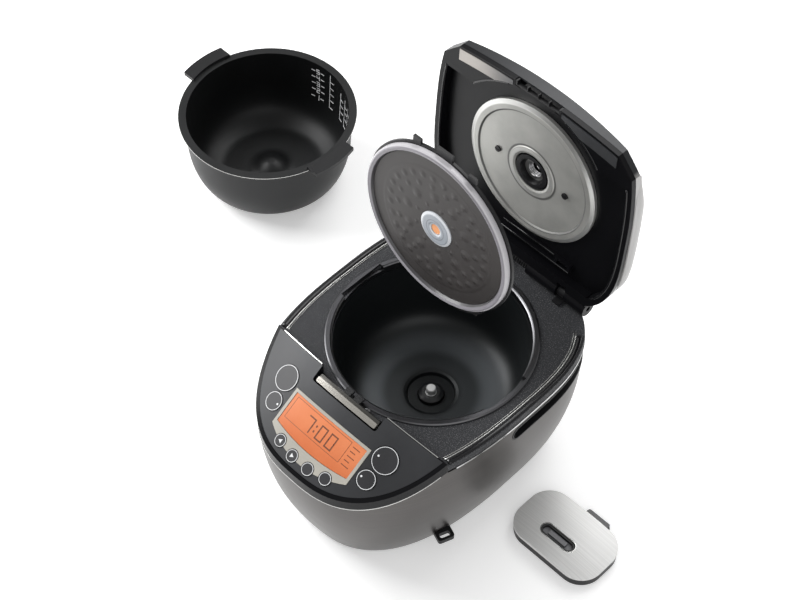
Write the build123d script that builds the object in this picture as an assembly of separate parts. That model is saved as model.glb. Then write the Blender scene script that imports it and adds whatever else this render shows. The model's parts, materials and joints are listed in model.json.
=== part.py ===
from build123d import *
import math
import os

# Rice cooker with the lid open and its loose pieces laid out, in millimetres.
# The origin is on the floor under the chamber axis, front is -Y, up is +Z.

# Main body
HALF_W = 134.0
FRONT = 204.0
BACK = 148.0
DECK_Z = 180.0
SEAM_Z = 170.7
WALL = 2.4
BODY_STATIONS = [(6, 27), (20, 21), (48, 12), (86, 4.2), (120, 0.8), (150, 0)]
SHOULDER_Z = 150.0

# Sloping control panel, a shallow barrel whose highest line runs down the middle
CREST_Y = -114.0
CREST_Z = 199.0
SLOPE = math.radians(33)
BARREL_R = 420.0
EDGE_R = 747.0
EDGE_Y = CREST_Y + EDGE_R

# Chamber and its fittings
RIM_R = 105.5
CHAMBER_FLOOR = 80.0
SENSOR_TOP = 88.0

# Lid
HINGE_Y = 136.0
HINGE_Z = 191.0
LID_OPEN = 93.0
LID_Z = 184.0
DOME_R = 700.0
DOME_TOP = 213.0
PLATE_R = 84.3
PLATE_Z = 188.2
RIM_WALL = 8.0
LID_BEVEL = 318.0
BAR_END = -70.0

# Inner lid, drawn home under the lid plate and then moved off
INNER_OUT = 132.0
INNER_UP = 20.0
GASKET_R = 94.6

# Pieces standing on the floor
POT_X = -418.0
POT_Y = 144.0
POT_R = 108.0
POT_H = 102.3
POT_LIP = 1.2
CAP_X = 200.0
CAP_Y = 3.0
CAP_LONG = 115.0
CAP_WIDE = 73.0
CAP_CORNER = 27.0

# Raised pad in the middle of the bottom cover
PAD_Z = 3.4

# Fan, base screws and feet, seen from above
FAN_X = 48.0
FAN_Y = 68.0
SCREWS = [(-78, -108), (78, -108), (-88, 40), (88, 40)]
FEET = [(-62, -124), (62, -124), (-57, 95), (57, 95)]

# Buttons: name, sideways place, place down the panel, radius
BUTTONS = [
    ("button_start", 72, 36, 14.6),
    ("button_cancel", -72, 36, 14.6),
    ("button_timer", 68, 63, 10.6),
    ("button_warm", -68, 63, 10.6),
    ("button_left", -33, 89, 7.2),
    ("button_right", -11.4, 93, 7.2),
    ("button_hour", 11.4, 93, 7.2),
    ("button_minute", 33, 89, 7.2),
]

OUTWARD = Vector(0, -math.sin(SLOPE), math.cos(SLOPE))
DOWNHILL = Vector(0, -math.cos(SLOPE), -math.sin(SLOPE))
PANEL = Plane(origin=(0, CREST_Y, CREST_Z), x_dir=(1, 0, 0), z_dir=OUTWARD)
HINGE = Axis((0, HINGE_Y, HINGE_Z), (1, 0, 0))


def save(shape, name):
    shape = shape.clean() if hasattr(shape, "clean") else shape
    shape.label = name
    export_step(shape, f"parts/{name}.step")


def solids_of(shape):
    return Compound(children=list(shape.solids())) if len(shape.solids()) > 1 else shape.solids()[0]


# Closed outline of the body seen from above
def outline(inset=0.0):
    points = []
    for k in range(28):
        t = 2 * math.pi * k / 28
        c, s = math.cos(t), math.sin(t)
        power = 2 / 2.5 if s < 0 else 2 / 3.2
        reach = (FRONT if s < 0 else BACK) - inset
        x = (HALF_W - inset) * math.copysign(abs(c) ** power, c)
        y = reach * math.copysign(abs(s) ** power, s)
        points.append((x, y))
    return make_face(Spline(*points, periodic=True))


def slab(z0, z1, inset=0.0):
    return Pos(0, 0, z0) * extrude(outline(inset), z1 - z0)


# Flared lower body, straight above its shoulder
def body(inset=0.0):
    flare = loft([Pos(0, 0, z) * outline(inset + extra) for z, extra in BODY_STATIONS])
    return flare + slab(SHOULDER_Z, 206, inset)


def box(x0, x1, y0, y1, z0, z1):
    return Pos((x0 + x1) / 2, (y0 + y1) / 2, (z0 + z1) / 2) * Box(x1 - x0, y1 - y0, z1 - z0)


def tube(r, z0, z1, x=0.0, y=0.0):
    return Pos(x, y, (z0 + z1) / 2) * Cylinder(r, z1 - z0)


def ring(r0, r1, z0, z1, x=0.0, y=0.0):
    return tube(r1, z0, z1, x, y) - tube(r0, z0 - 1, z1 + 1, x, y)


def rod(r, x0, x1, y, z):
    return Pos((x0 + x1) / 2, y, z) * Rot(0, 90, 0) * Cylinder(r, x1 - x0)


def turned(points):
    profile = make_face(Polyline(*[(r, 0, z) for r, z in points], close=True))
    return revolve(profile, Axis.Z)


# Everything in front of the curved edge between panel and deck
def in_front(gap=0.0):
    return box(-300, 300, -300, -60, -20, 300) - tube(EDGE_R + gap, -20, 300, 0, EDGE_Y)


def behind(gap=0.0):
    return tube(EDGE_R - gap, -20, 300, 0, EDGE_Y) & box(-300, 300, -200, 300, -20, 300)


# The barrel the panel lies on, lowered below its skin
def barrel(depth=0.0):
    place = Plane(origin=PANEL.origin - OUTWARD * BARREL_R, x_dir=(1, 0, 0), z_dir=DOWNHILL)
    return place * Cylinder(BARREL_R - depth, 700)


# A flat shape on the panel cut out of the layer between two depths
def layer(sketch, top, bottom):
    block = extrude(PANEL * sketch, 40, both=True)
    return block & (barrel(top) - barrel(bottom))


# Frame standing on the panel skin, its normal pointing out
def on_panel(x, down):
    a = math.asin(x / BARREL_R)
    sink = BARREL_R * (1 - math.cos(a))
    spot = PANEL.origin + DOWNHILL * down + Vector(x, 0, 0) - OUTWARD * sink
    normal = Vector(math.sin(a), 0, 0) + OUTWARD * math.cos(a)
    return Plane(origin=spot, x_dir=DOWNHILL, z_dir=normal)


def on_skin(x, down, radius, top, bottom):
    height = bottom - top
    return on_panel(x, down) * Pos(0, 0, -(top + bottom) / 2) * Cylinder(radius, height)


# Turns a shape drawn on the shut lid to the open rest pose
def lid_open(shape):
    return shape.rotate(HINGE, -LID_OPEN)


def inner_open(shape):
    return lid_open(Pos(0, -INNER_UP, -INNER_OUT) * shape)


# Rounded rectangle across the panel, from one place down it to another
def patch(half_w, p0, p1, corner):
    return Pos(0, -(p0 + p1) / 2) * RectangleRounded(2 * half_w, p1 - p0, corner)


def bowed(half_w, p0, p1, bow):
    left = (-half_w, -p1)
    right = (half_w, -p1)
    edges = Polyline(left, (-half_w, -p0), (half_w, -p0), right)
    arc = ThreePointArc(right, (0, -p1 - bow), left)
    return make_face(edges + arc)


COLUMN = slab(100, 206)
COLUMN_ROOM = slab(90, 210, WALL)


def deck_zone(top, gap=0.0):
    return behind(gap) & box(-300, 300, -200, 300, -20, top)


def lever_slot(margin=0.0):
    return patch(46 + margin, -6, 20 + margin, 3)


def make_outer_shell():
    shell = (body() - body(WALL)) & ((in_front() & barrel(11.5)) + deck_zone(SEAM_Z - 2.9))
    tools = [grip_block(side, 0.3) for side in (1, -1)]
    tools += [box(-13, 13, 120, 160, 34, 54), spoon_root(0.3)]
    return shell - tools


def grip_block(side, margin=0.0):
    slot = Plane.YZ * Pos(48, 153) * RectangleRounded(134 + 2 * margin, 20 + 2 * margin, 9.9 + margin)
    block = extrude(slot, 60)
    return Pos(112, 0, 0) * block if side > 0 else Pos(-172, 0, 0) * block


def make_grip_cups():
    edge = slab(130, 180, -0.4)
    cups = []
    for side in (1, -1):
        hollow = Pos(side * 2.2, 0, 0) * grip_block(side, -1.8)
        cups += ((grip_block(side) & edge) - hollow).solids()
    return Compound(children=cups)


# Deck round the chamber and the base of the panel, one moulding
def make_top_housing():
    deck = COLUMN & (deck_zone(DECK_Z) - deck_zone(SEAM_Z))
    deck -= COLUMN_ROOM & deck_zone(DECK_Z - 3.4, 4)
    deck -= [tube(109.3, 150, 200)] + [tube(2.2, 170, 190, x, HINGE_Y - 5) for x in (-62, 62)]
    front = COLUMN & in_front() & (barrel(2) - barrel(11))
    lip = COLUMN & in_front() & (barrel() - barrel(3))
    front += lip - (slab(90, 210, 4) & in_front(1.2))
    front -= COLUMN_ROOM & in_front(3) & barrel(4.6)
    front += layer(patch(48.5, 2, 22.5, 3), 2, 19) & in_front(1.0)
    axis = lever_axis()
    tools = [layer(lever_slot(), -4, 16.5), box(-13, 13, -125, -100, 184.5, 196)]
    tools += [rod(1.6, -50, 50, axis.Y, axis.Z), layer(patch(50.4, 40.2, 74.8, 1.5), 0, 8)]
    tools += [on_skin(x, down, radius + 0.5, -3, 9) for name, x, down, radius in BUTTONS]
    return (front - tools) + deck


def make_panel_face():
    face = (barrel() - barrel(1.7)) & slab(90, 210, 4.2) & in_front(1.6)
    tools = [layer(lever_slot(), -4, 6), layer(bezel_plan(0.25), -1, 6)]
    tools += [on_skin(x, down, radius + 0.5, -3, 6) for name, x, down, radius in BUTTONS]
    return face - tools


def bezel_plan(margin=0.0):
    return bowed(54.5 + margin, 36.5 - margin, 80 + margin, 15)


def make_lcd_bezel():
    bezel = layer(bezel_plan(), -0.5, 1.7)
    bezel -= layer(bowed(51.2, 39.7, 75.2, 5.2), -2, 6)
    for name, x, down, radius in BUTTONS:
        bezel -= on_skin(x, down, radius + 0.5, -3, 6)
    return bezel


def make_lcd_window():
    glass = layer(bowed(50.9, 40, 75, 5), 0.2, 1.6)
    return glass + layer(patch(50, 40.6, 74.4, 1), 1.5, 5.5)


def make_button(x, down, radius):
    cap = on_skin(x, down, radius, -0.7, 5.6)
    return cap + on_skin(x, down, radius + 0.9, 5.5, 7.0)


def make_deck_trim():
    band = slab(160, 175, -0.7) - slab(150, 180, 2.0)
    return band & behind(3) & box(-300, 300, -94, 300, SEAM_Z - 2.6, SEAM_Z - 0.3)


def make_chamber_ring():
    profile = [(RIM_R, 172), (108.9, 172), (108.9, 180.3), (113, 180.3), (113, 181.6)]
    profile += [(111.6, 182.6), (107.5, 182.6), (RIM_R, 181)]
    rim = turned(profile)
    return rim - box(-107.2, 107.2, -29, 29, 177, 190)


# One run of a profile: a line between two places, or a curve with its end directions
def run(*points, ends=None):
    places = [(r, 0, z) for r, z in points]
    if len(places) == 2:
        return Line(*places)
    return Spline(*places, tangents=[(r, 0, z) for r, z in ends]) if ends else Spline(*places)


def turned_runs(runs):
    return revolve(make_face(runs), Axis.Z)


def make_chamber():
    inner = [(105.1, 171.5), (103.5, 140), (100, 112), (93, 95), (83, 86.5), (70, 82.5), (52, 80.8)]
    inner.append((30, CHAMBER_FLOOR))
    sump = [(30, CHAMBER_FLOOR), (27, 79), (25.5, 75), (15, 75), (15, 73.4), (27, 73.4), (31, 78.2)]
    outer = [(31, 78.2), (52, 79.2), (70.5, 80.8), (84, 84.8), (94.4, 93.8), (101.7, 111.6)]
    outer += [(105.2, 140), (107, 171.5)]
    steps = [run(a, b) for a, b in zip(sump, sump[1:])]
    return turned_runs([run(*inner)] + steps + [run(*outer), run(outer[-1], inner[0])])


def make_induction_coil():
    coil = ring(34, 56, 69, 75)
    coil += ring(61, 76, 70.5, 77)
    return solids_of(coil)


def make_coil_carrier():
    disc = ring(24, 92, 64, 68.6)
    disc += ring(57, 60, 68, 74)
    disc += ring(89, 92, 64, 82)
    for k in range(4):
        post = tube(5, 9.2, 64.2, 84 * math.cos(math.pi / 2 * k), 84 * math.sin(math.pi / 2 * k))
        disc += post
    return disc


def make_ferrite_bars():
    bars = []
    for k in range(6):
        bar = box(36, 77, -6, 6, 57.5, 63.6)
        bars += bar.rotate(Axis.Z, 60 * k).solids()
    return Compound(children=bars)


def make_sensor_sleeve():
    sleeve = ring(14.3, 23.6, 60, 63.7) + ring(14.3, 17, 46, 61)
    return sleeve + ring(9, 15, 46, 48)


def make_centre_sensor():
    profile = [(0, 66), (11.5, 66), (13.8, 68), (13.8, 79), (10, 81.2), (7.6, 81.2), (7.6, 80), (5.5, 80)]
    profile += [(5.5, SENSOR_TOP - 1), (4.6, SENSOR_TOP), (0, SENSOR_TOP)]
    return turned(profile) + tube(5.5, 50, 67)


def coil_spring(radius, wire, z0, turns, pitch):
    path = Helix(pitch=pitch, height=pitch * turns, radius=radius)
    start = Plane(origin=path @ 0, z_dir=path % 0)
    return Pos(0, 0, z0) * sweep(start * Circle(wire), path)


def make_sensor_spring():
    return coil_spring(8.2, 0.6, 48.9, 4, 4.0)


def make_control_board():
    board = box(-66, 66, -1.0, 0.8, -24, 24)
    for x in (-40, -10, 25):
        board += box(x, x + 18, 0.7, 5, -14, 4)
    place = Plane(origin=PANEL.origin + DOWNHILL * 66 - OUTWARD * 22, x_dir=(1, 0, 0), z_dir=-DOWNHILL)
    return place * board


def make_power_board():
    board = box(-50, 50, -160, -100, 16, 17.8)
    board += box(-44, -18, -150, -122, 17.7, 46)
    board += box(-4, 22, -155, -112, 17.7, 40)
    board += tube(9, 17.7, 50, 36, -135)
    for x in (-44, 44):
        for y in (-108, -148):
            board += tube(3, 9.2, 16.1, x, y)
    return board


def make_fan_frame():
    frame = box(FAN_X - 28, FAN_X + 28, FAN_Y - 28, FAN_Y + 28, 9.3, 25) - tube(25, 8, 30, FAN_X, FAN_Y)
    frame += box(FAN_X - 28, FAN_X + 28, FAN_Y - 1.5, FAN_Y + 1.5, 9.3, 11) + tube(8, 9.3, 11, FAN_X, FAN_Y)
    return frame + tube(1.5, 10, 14.6, FAN_X, FAN_Y)


def make_fan_rotor():
    rotor = tube(10, 11.8, 23.5, FAN_X, FAN_Y) - tube(1.55, 11, 16, FAN_X, FAN_Y)
    for k in range(7):
        blade = Pos(16.3, 0, 0) * Rot(38, 0, 0) * Box(14.5, 1.2, 10)
        rotor += Pos(FAN_X, FAN_Y, 17.5) * Rot(0, 0, 360 / 7 * k) * blade
    return rotor


def make_bottom_cover():
    cover = Pos(0, 0, 4) * extrude(outline(30.2), 5)
    for k in range(7):
        cover -= box(26 + 6.4 * k, 29.6 + 6.4 * k, 50, 83, 0, 12)
    for x, y in SCREWS:
        cover -= tube(1.9, 0, 12, x, y) + tube(4.0, 0, 7, x, y)
    return cover + box(-45, 45, -30, 30, PAD_Z, 4.5)


def make_rubber_feet():
    feet = []
    for x, y in FEET:
        foot = tube(10, 0, 3.9, x, y)
        feet += fillet(foot.edges().group_by(Axis.Z)[0], 1.2).solids()
    return Compound(children=feet)


def make_base_screws():
    screws = []
    for x, y in SCREWS:
        screw = tube(3.7, 5.2, 7, x, y) + tube(1.7, 6.9, 20, x, y)
        screws += (screw - box(x - 3, x + 3, y - 0.5, y + 0.5, 4, 5.9)).solids()
    return Compound(children=screws)


def make_screw_posts():
    posts = []
    for x, y in SCREWS:
        posts += (tube(5, 9.2, 26, x, y) - tube(1.8, 8, 21, x, y)).solids()
    return Compound(children=posts)


def make_hinge_brackets():
    pieces = []
    for x in (-62, 62):
        plate = box(x - 5, x + 5, HINGE_Y - 13, HINGE_Y + 6, DECK_Z + 0.2, DECK_Z + 2.6)
        ear = box(x - 5, x + 5, HINGE_Y - 5, HINGE_Y + 5, DECK_Z + 2, HINGE_Z)
        ear += rod(6.5, x - 5, x + 5, HINGE_Y, HINGE_Z)
        stub = tube(1.9, DECK_Z - 5, DECK_Z + 1, x, HINGE_Y - 5)
        pieces += ((plate + ear + stub) - rod(3.15, x - 8, x + 8, HINGE_Y, HINGE_Z)).solids()
    return Compound(children=pieces)


def make_hinge_pin():
    return rod(3.0, -84, 84, HINGE_Y, HINGE_Z)


def make_lid_spring():
    path = Helix(pitch=3.0, height=24, radius=5.2)
    start = Plane(origin=path @ 0, z_dir=path % 0)
    spring = sweep(start * Circle(0.8), path)
    return Pos(-12, HINGE_Y, HINGE_Z) * Rot(0, 90, 0) * spring


def make_open_lever():
    lever = layer(patch(42.5, 12.4, 18.4, 1.5), 1.2, 6)
    lever += layer(patch(42.5, 9.0, 13.2, 1.5), 3.6, 8)
    lever += layer(patch(40, 9, 17, 1.5), 5.5, 9.5)
    lever += box(-11.5, -2.5, -121, -110, 186.3, 189.3) + box(2.5, 11.5, -121, -110, 186.3, 189.3)
    axis = lever_axis()
    lever += rod(2.6, -41, 41, axis.Y, axis.Z)
    return lever - rod(1.55, -60, 60, axis.Y, axis.Z)


def lever_axis():
    return PANEL.origin + DOWNHILL * 15.5 - OUTWARD * 12.2


def make_lever_pin():
    axis = lever_axis()
    return rod(1.5, -47.6, 47.6, axis.Y, axis.Z)


def make_lever_spring():
    path = Helix(pitch=1.5, height=5.25, radius=1.8)
    start = Plane(origin=path @ 0, z_dir=path % 0)
    spring = sweep(start * Circle(0.3), path)
    place = Plane(origin=PANEL.origin + DOWNHILL * 9.6 - OUTWARD * 16.1, x_dir=(1, 0, 0), z_dir=OUTWARD)
    return place * Pos(20, 0, 0) * spring


# Small slotted ear low on the right side that carries a spoon holder
def spoon_place():
    return Pos(103, -90, 22) * Rot(0, 0, -20)


def spoon_root(margin=0.0):
    return spoon_place() * box(-8 - margin, 4, -7 - margin, 7 + margin, -3 - margin, 3 + margin)


def make_spoon_loop():
    ear = spoon_place() * Pos(8.5, 0, -3) * extrude(RectangleRounded(17, 19, 3), 6)
    root = spoon_root() & body(-1)
    slot = spoon_place() * Pos(11, 0, -10) * extrude(RectangleRounded(6, 12, 2), 20)
    return ((ear - body(-0.3)) + root) - slot


def make_power_inlet():
    inlet = box(-12.6, 12.6, 118, 142, 34.4, 53.6)
    return inlet - box(-9, 9, 130, 150, 38, 50)


# Lid pieces are drawn shut and turned open when saved
def lid_column(z0, z1, inset):
    bevel = Pos(0, 15, 200) * Rot(0, 0, 45) * Box(LID_BEVEL - 2 * inset, LID_BEVEL - 2 * inset, 400)
    return slab(z0, z1, 3 + inset) & behind(1.4 + inset) & box(-300, 300, -300, 126 - inset, 0, 400) & bevel


def dome(drop=0.0):
    return Pos(0, 0, DOME_TOP - DOME_R) * Sphere(DOME_R - drop)


def make_lid_shell():
    shell = lid_column(190, 230, 0) & dome()
    shell -= lid_column(180, 230, 2.4) & dome(2.4)
    seat = Pos(0, 14, 204) * extrude(cap_plan(2), 20) + box(-9, 31, 44, 59, 204, 224)
    cup = (Pos(0, 14, 202) * extrude(cap_plan(4), 20) + box(-11, 33, 44, 61, 202, 222)) & dome()
    return (shell + cup) - [seat, tube(16, 190, 230), box(-97, 97, 118, 150, 180, 205)]


# Tray behind the lid plate: open to both sides, closed by a crescent bar at the front
def make_lid_frame():
    frame = lid_column(LID_Z, 189.7, 0) + (lid_column(189.5, 197, 2.8) & dome(2.8))
    frame -= [lid_column(170, 194, RIM_WALL) & box(-300, 300, BAR_END, 300, 0, 400), tube(107, 170, 194)]
    frame += box(-96, 96, 112, 127, LID_Z, 194.5) & dome(2.8)
    frame += box(-74, 66, 101, 104, 188.4, 194.5) + box(-30, 44, 92, 94, 190, 194.5)
    frame += box(44, 66, 92, 104, 188.4, 194.5) - box(48, 62, 95, 104, 180, 192)
    frame += rod(9.3, -96, 96, HINGE_Y, HINGE_Z) + box(-96, 96, 120, HINGE_Y, HINGE_Z - 5, HINGE_Z + 9.3)
    frame -= tube(21, 170, 200)
    for x in (-62, 62):
        frame -= rod(11, x - 6, x + 6, HINGE_Y, HINGE_Z)
        frame -= box(x - 6, x + 6, 121, 150, 170, 193)
    frame -= rod(11, -14, 14, HINGE_Y, HINGE_Z)
    frame -= rod(3.1, -120, 120, HINGE_Y, HINGE_Z)
    frame -= box(-30, 30, -125, -104.6, 180, 192.5)
    return frame


def make_latch_window():
    block = box(-29.6, 29.6, -111.0, -104.9, LID_Z + 0.4, 189.4) & behind(2.2)
    for k in range(4):
        block -= box(-27.5 + 14 * k, -14.5 + 14 * k, -120, -106.4, 180, 192.0)
    return block & box(-29.6, 29.6, -130, -100, 180, 200)


def make_lid_plate():
    profile = [(22.5, 193.6), (22.5, 189.4), (25, 188.6), (30, 188.6), (31, PLATE_Z + 1.4)]
    profile += [(72, PLATE_Z + 1.4), (73.5, PLATE_Z), (80, PLATE_Z), (PLATE_R, 190), (PLATE_R, 193.6)]
    profile += [(PLATE_R - 1.4, 193.6), (PLATE_R - 1.4, 190.6), (79, 189.6), (73, 190.8)]
    profile += [(24, 190.8), (24, 193.6)]
    plate = turned(profile)
    for x in (-46, 46):
        plate -= tube(2.4, 180, 200, x, 0)
    return plate


def make_plate_screws():
    screws = []
    for x in (-46, 46):
        screw = tube(3.6, 187.7, 189.4, x, 0) + tube(2.1, 189.3, 193.8, x, 0)
        screws += (screw - box(x - 3, x + 3, -0.6, 0.6, 187, 188.5)).solids()
    return Compound(children=screws)


def make_vent_tube():
    return ring(15.5, 20.5, 189, 201.6) + ring(9, 15.8, 194, 196)


def make_lid_heater():
    return ring(40, 70, 191.4, 193.4) - [tube(3, 190, 195, x, 0) for x in (-46, 46)]


def inner_bar():
    return make_face(Polyline((-66, 74), (66, 74), (58, 84), (36, 96), (-36, 96), (-58, 84), close=True))


def make_inner_frame():
    frame = ring(84, 97, 184.6, 187.4)
    frame += Pos(0, 0, 184.2) * extrude(inner_bar(), 3.2) - tube(96.5, 180, 190)
    frame += box(-10, 10, -104, -95, 184.6, 187.4)
    for x in (-36, 36):
        frame += box(x - 5, x + 5, -97, -90, 184.6, 187.4)
    for x in (-54, 54):
        frame += box(x - 4, x + 4, 83, 86, 184.2, 186)
    frame += ring(16, 26, 184.6, 186.6)
    for k in range(4):
        spoke = box(24, 86, -4, 4, 184.6, 186.4)
        frame += spoke.rotate(Axis.Z, 45 + 90 * k)
    return frame


def make_inner_plate():
    return ring(20.6, 87, 181.4, 184.3)


def make_inner_gasket():
    profile = [(87.4, 181), (89, 178.4), (92, 177.6), (GASKET_R, 179.5), (GASKET_R, 184.2), (87.4, 184.2)]
    return turned(profile)


def make_valve_ring():
    profile = [(6.2, 184.4), (6.2, 179.6), (9, 178.8), (16.5, 178.8), (20.2, 180.2), (20.2, 184.4)]
    return turned(profile)


def make_valve_cap():
    return tube(5.9, 180.4, 186)


# Hangs in the chamber by its flange, clear of the floor and wall
def make_pot():
    lip = POT_H - POT_LIP
    wall = [(98.6, POT_H), (97.4, 58), (92.4, 30), (84.6, 16.2), (70.4, 6.6), (57, 3.6)]
    rise = [(32, 3.6), (22, 5.4), (14, 10.2), (7, 13.5), (0, 14.3)]
    hollow = [(0, 11), (7, 10.3), (14, 7.2), (20, 2.4), (26, 0)]
    skin = [(56, 0), (72, 3), (86.6, 13), (95, 29.5), (100.2, 58), (101.6, POT_H - 6), (102.2, lip)]
    runs = [run(*wall, ends=[(-0.03, -1), (-1, 0)]), run(wall[-1], rise[0])]
    runs += [run(*rise, ends=[(-1, 0), (-1, 0)]), run(rise[-1], hollow[0])]
    runs += [run(*hollow, ends=[(1, 0), (1, 0)]), run(hollow[-1], skin[0])]
    runs += [run(*skin, ends=[(1, 0), (0.1, 1)]), run(skin[-1], (POT_R, lip))]
    runs += [run((POT_R, lip), (POT_R, POT_H)), run((POT_R, POT_H), wall[0])]
    return Pos(POT_X, POT_Y, 0) * turned_runs(runs)


# Wings clamped over the flange, high enough to clear the deck when the pot is in place
def make_pot_handles():
    grips = []
    for side in (1, -1):
        grip = ring(POT_R + 0.3, POT_R + 14, POT_H - POT_LIP + 0.2, POT_H + 4)
        grip += ring(POT_R - 2.5, POT_R + 2, POT_H + 0.3, POT_H + 4)
        grip = grip & box(80, 130, -30, 30, 0, 200)
        grip = grip if side > 0 else grip.rotate(Axis.Z, 180)
        grips += (Pos(POT_X, POT_Y, 0) * grip).solids()
    return Compound(children=grips)


def cap_plan(margin):
    return RectangleRounded(CAP_LONG + 2 * margin, CAP_WIDE + 2 * margin, CAP_CORNER + margin)


def cap_slot_plan(length, width):
    return Pos(-2, -10) * SlotOverall(length, width)


def make_cap_base():
    base = extrude(cap_plan(-0.6), 10)
    base -= Pos(0, 0, 8.2) * extrude(cap_plan(-4), 6)
    base += box(-5, 27, CAP_WIDE / 2 - 2, CAP_WIDE / 2 + 5.5, 2, 8.5)
    base -= Pos(0, 0, -1) * extrude(cap_slot_plan(40, 10), 20)
    return Pos(CAP_X, CAP_Y, 0) * base


def make_cap_top():
    crown = Pos(0, 0, 10.3) * extrude(cap_plan(0), 8) & Pos(0, 0, 16.5 - 480) * Sphere(480)
    crown -= extrude(cap_slot_plan(45, 15), 30)
    return Pos(CAP_X, CAP_Y, 0) * crown


def make_cap_slot():
    insert = Pos(0, 0, 9) * extrude(cap_slot_plan(44.4, 14.4), 6)
    insert -= Pos(0, 0, 11.5) * extrude(cap_slot_plan(40, 10), 8)
    insert += box(-14, 10, -12.6, -7.4, 10, 14.2)
    return Pos(CAP_X, CAP_Y, 0) * insert


def main():
    os.makedirs("parts", exist_ok=True)
    fixed = {
        "outer_shell": make_outer_shell,
        "grip_cups": make_grip_cups,
        "top_housing": make_top_housing,
        "panel_face": make_panel_face,
        "lcd_bezel": make_lcd_bezel,
        "lcd_window": make_lcd_window,
        "deck_trim": make_deck_trim,
        "chamber_ring": make_chamber_ring,
        "chamber": make_chamber,
        "induction_coil": make_induction_coil,
        "coil_carrier": make_coil_carrier,
        "ferrite_bars": make_ferrite_bars,
        "sensor_sleeve": make_sensor_sleeve,
        "centre_sensor": make_centre_sensor,
        "sensor_spring": make_sensor_spring,
        "control_board": make_control_board,
        "power_board": make_power_board,
        "fan_frame": make_fan_frame,
        "fan_rotor": make_fan_rotor,
        "bottom_cover": make_bottom_cover,
        "rubber_feet": make_rubber_feet,
        "base_screws": make_base_screws,
        "screw_posts": make_screw_posts,
        "hinge_brackets": make_hinge_brackets,
        "hinge_pin": make_hinge_pin,
        "lid_spring": make_lid_spring,
        "open_lever": make_open_lever,
        "lever_pin": make_lever_pin,
        "lever_spring": make_lever_spring,
        "spoon_loop": make_spoon_loop,
        "power_inlet": make_power_inlet,
        "pot": make_pot,
        "pot_handles": make_pot_handles,
        "cap_base": make_cap_base,
        "cap_top": make_cap_top,
        "cap_slot": make_cap_slot,
    }
    lid = {
        "lid_shell": make_lid_shell,
        "lid_frame": make_lid_frame,
        "latch_window": make_latch_window,
        "lid_plate": make_lid_plate,
        "plate_screws": make_plate_screws,
        "vent_tube": make_vent_tube,
        "lid_heater": make_lid_heater,
    }
    inner = {
        "inner_frame": make_inner_frame,
        "inner_plate": make_inner_plate,
        "inner_gasket": make_inner_gasket,
        "valve_ring": make_valve_ring,
        "valve_cap": make_valve_cap,
    }
    for name, make in fixed.items():
        save(make(), name)
    for name, x, down, radius in BUTTONS:
        save(make_button(x, down, radius), name)
    for name, make in lid.items():
        save(lid_open(make()), name)
    for name, make in inner.items():
        save(inner_open(make()), name)


main()
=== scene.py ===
import json
import math

import bmesh
import bpy
from mathutils import Matrix, Vector


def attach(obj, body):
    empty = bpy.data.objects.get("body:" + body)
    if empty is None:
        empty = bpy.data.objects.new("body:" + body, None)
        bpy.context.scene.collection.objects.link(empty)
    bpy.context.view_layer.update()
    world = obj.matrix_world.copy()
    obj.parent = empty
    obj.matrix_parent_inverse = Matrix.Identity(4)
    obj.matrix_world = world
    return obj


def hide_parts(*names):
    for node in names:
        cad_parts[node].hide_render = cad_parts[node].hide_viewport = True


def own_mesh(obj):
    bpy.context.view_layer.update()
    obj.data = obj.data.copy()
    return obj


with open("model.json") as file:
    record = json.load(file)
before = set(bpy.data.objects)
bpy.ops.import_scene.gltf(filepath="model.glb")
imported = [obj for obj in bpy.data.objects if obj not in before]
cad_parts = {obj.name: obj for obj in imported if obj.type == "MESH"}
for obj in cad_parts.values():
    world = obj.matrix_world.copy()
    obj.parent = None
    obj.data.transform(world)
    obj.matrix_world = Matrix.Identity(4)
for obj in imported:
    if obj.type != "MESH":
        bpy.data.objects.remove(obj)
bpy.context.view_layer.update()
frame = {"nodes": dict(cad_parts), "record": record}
nodes = frame["nodes"]
scene = bpy.context.scene
print("stage: frame loaded")


# A shader socket that adds, subtracts and multiplies like a number
class Wire:
    def __init__(self, paint, socket):
        self.paint = paint
        self.socket = socket

    def maths(self, operation, first, second=0.0):
        node = self.paint.make("ShaderNodeMath", {0: first, 1: second}, operation=operation)
        return Wire(self.paint, node.outputs[0])

    def __add__(self, other):
        return self.maths("ADD", self, other)

    def __sub__(self, other):
        return self.maths("SUBTRACT", self, other)

    def __rsub__(self, other):
        return self.maths("SUBTRACT", other, self)

    def __mul__(self, other):
        return self.maths("MULTIPLY", self, other)

    def __pow__(self, other):
        return self.maths("POWER", self, other)

    def __rpow__(self, other):
        return self.maths("POWER", other, self)

    def __abs__(self):
        return self.maths("ABSOLUTE", self)

    __radd__ = __add__
    __rmul__ = __mul__

    def atLeast(self, low):
        return self.maths("MAXIMUM", self, low)

    # Smooth step from 0 to 1
    def rise(self, low, high):
        ends = {0: self, 1: low, 2: high}
        node = self.paint.make("ShaderNodeMapRange", ends, interpolation_type="SMOOTHSTEP")
        return Wire(self.paint, node.outputs[0])

    def fall(self, low, high):
        return 1 - self.rise(low, high)

    # Up between the first two places, down again between the last two
    def ridge(self, low, lowTop, highTop, high):
        return self.rise(low, lowTop) * self.fall(highTop, high)


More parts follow.
